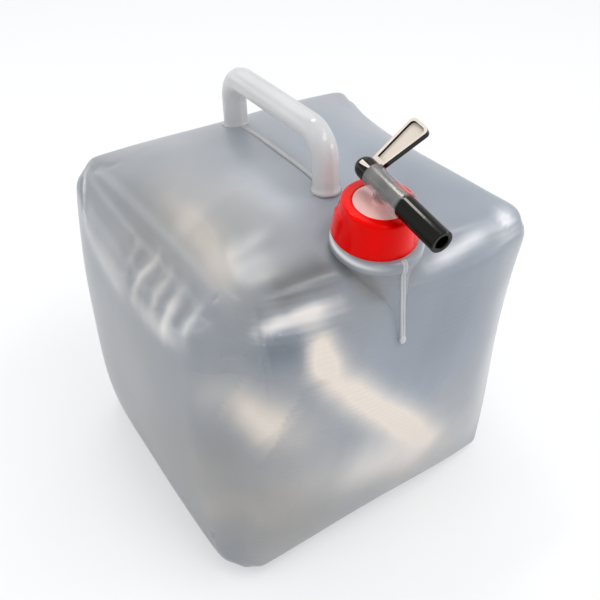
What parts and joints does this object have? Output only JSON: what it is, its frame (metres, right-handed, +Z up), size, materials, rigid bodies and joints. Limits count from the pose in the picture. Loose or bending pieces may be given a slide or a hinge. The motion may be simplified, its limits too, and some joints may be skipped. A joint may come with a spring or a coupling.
{
  "type": "collapsible water carrier",
  "caption": "Folding cube-shaped plastic water container with a hollow top handle, a tilted neck with a screw ring, and a quarter-turn drum tap with lever and nozzle.",
  "frame": {"origin": "middle of the flat base, on the ground", "axes": "+Z up, -Y the front with the neck and tap, +X to the right seen from the front; the mid-plane of handle, neck and seam is X = 0"},
  "size_m": [0.3049, 0.3469, 0.3438],
  "materials": {
    "film": "translucent milky film, soft sheen",
    "ring": "glossy",
    "gasket": "matt",
    "tap_body": "translucent, glossy",
    "black": "glossy",
    "o_ring": "matt"
  },
  "bodies": {
    "walls": {"container_walls": "film"},
    "top": {"container_top": "film"},
    "closure": {"tap_body": "tap_body", "gasket": "gasket"},
    "ring": {"screw_ring": "ring"},
    "tap_plug": {"plug": "black", "o_ring_back": "o_ring", "o_ring_front": "o_ring", "nozzle": "black"}
  },
  "joints": [
    {"name": "collapse", "type": "slide", "parent": "walls", "child": "top", "axis": [0, 0, -1], "range_m": [0, 0.155], "deforming": ["container_walls"]},
    {"name": "closure_lift", "type": "slide", "parent": "top", "child": "closure", "axis": [0, -0.1908, 0.9816], "range_m": [0, 0.01]},
    {"name": "ring_turn", "type": "hinge", "parent": "closure", "child": "ring", "pos_m": [0, -0.1235, 0.2745], "axis": [0, -0.1908, 0.9816], "range_deg": [0, 720]},
    {"name": "tap_turn", "type": "hinge", "parent": "closure", "child": "tap_plug", "pos_m": [0, -0.13107, 0.31347], "axis": [0, -0.9816, -0.1908], "range_deg": [0, 90]}
  ],
  "couplings": [
    {"joint": "closure_lift", "follows": "ring_turn", "m_per_rad": 0.00079577}
  ]
}
